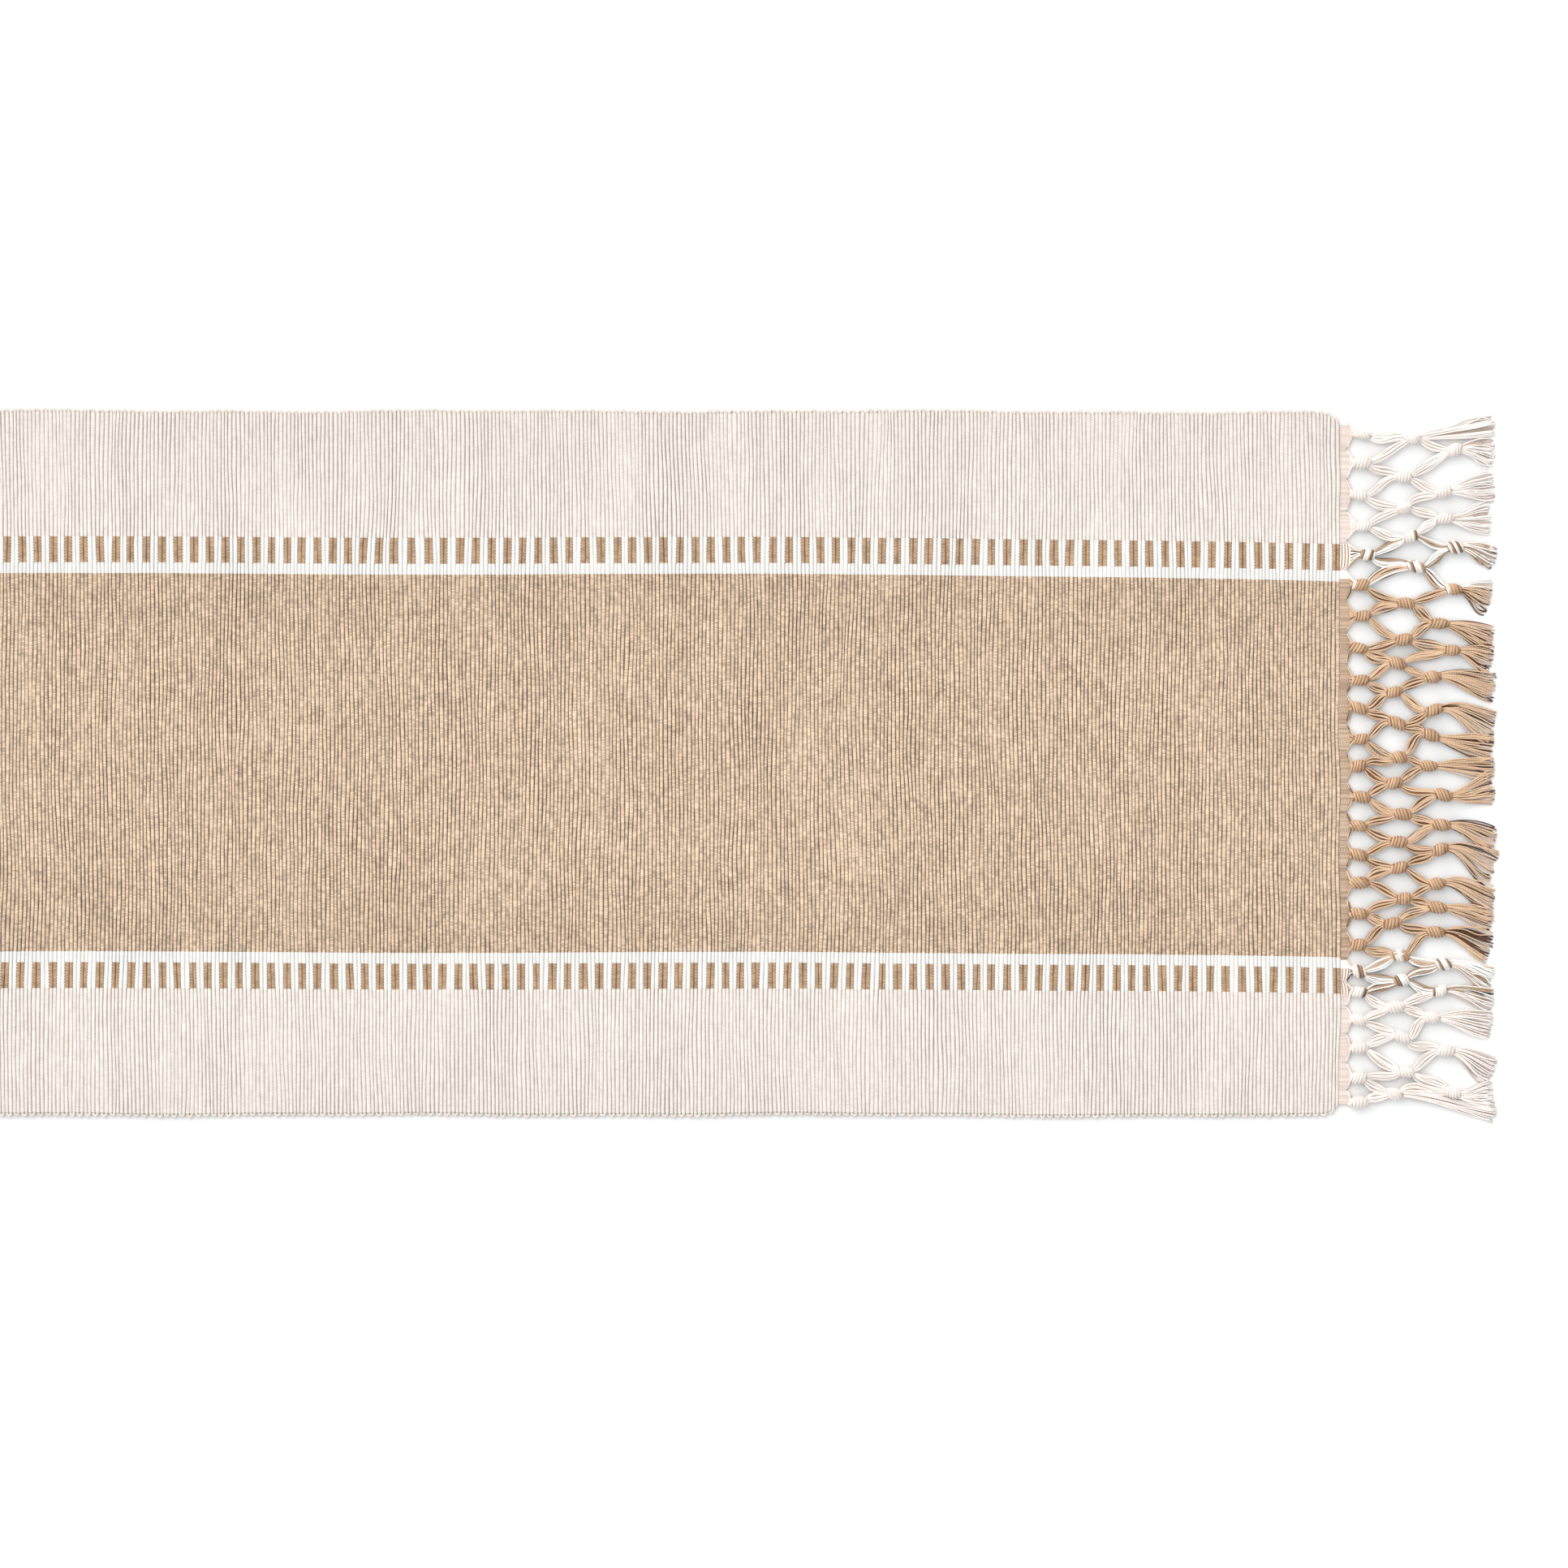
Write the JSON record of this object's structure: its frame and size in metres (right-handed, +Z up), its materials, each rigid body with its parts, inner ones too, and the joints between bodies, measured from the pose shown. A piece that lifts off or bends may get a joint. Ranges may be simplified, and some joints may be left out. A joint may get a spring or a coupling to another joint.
{
  "type": "table runner",
  "caption": "Ribbed cotton table runner with a tan centre, cream borders, white stripes and rows of brown dashes, with a knotted net and tassels at both ends",
  "frame": {"origin": "middle of the runner's underside, on the surface that it lies on", "axes": "+X along the runner towards its right-hand tassels, +Y across it towards its back selvedge, +Z up, out of its face"},
  "size_m": [1.829, 0.331, 0.0056],
  "materials": {
    "tan_warp": "matte",
    "cream_warp": "matte",
    "white_warp": "matte",
    "brown_warp": "matte",
    "weft_cord": "matte",
    "header_weave": "matte",
    "cream_fringe": "matte",
    "mixed_fringe": "matte",
    "tan_fringe": "matte"
  },
  "bodies": {
    "root": {"centre_panel": "tan_warp", "cream_back_knots_left": "cream_fringe", "cream_back_knots_right": "cream_fringe", "cream_back_legs_left": "cream_fringe", "cream_back_legs_right": "cream_fringe", "cream_back_tassels_left": "cream_fringe", "cream_back_tassels_right": "cream_fringe", "cream_band_back": "cream_warp", "cream_band_front": "cream_warp", "cream_front_knots_left": "cream_fringe", "cream_front_knots_right": "cream_fringe", "cream_front_legs_left": "cream_fringe", "cream_front_legs_right": "cream_fringe", "cream_front_tassels_left": "cream_fringe", "cream_front_tassels_right": "cream_fringe", "dash_brown_warp_back": "brown_warp", "dash_brown_warp_front": "brown_warp", "dash_white_warp_back": "white_warp", "dash_white_warp_front": "white_warp", "header_left": "header_weave", "header_right": "header_weave", "mixed_back_knots_left": "mixed_fringe", "mixed_back_knots_right": "mixed_fringe", "mixed_back_legs_left": "mixed_fringe", "mixed_back_legs_right": "mixed_fringe", "mixed_back_tassels_left": "mixed_fringe", "mixed_back_tassels_right": "mixed_fringe", "mixed_front_knots_left": "mixed_fringe", "mixed_front_knots_right": "mixed_fringe", "mixed_front_legs_left": "mixed_fringe", "mixed_front_legs_right": "mixed_fringe", "mixed_front_tassels_left": "mixed_fringe", "mixed_front_tassels_right": "mixed_fringe", "tan_knots_left": "tan_fringe", "tan_knots_right": "tan_fringe", "tan_legs_left": "tan_fringe", "tan_legs_right": "tan_fringe", "tan_tassels_left": "tan_fringe", "tan_tassels_right": "tan_fringe", "weft_picks": "weft_cord", "weft_turns_back": "weft_cord", "weft_turns_front": "weft_cord", "white_stripe_back": "white_warp", "white_stripe_front": "white_warp"}
  },
  "joints": []
}
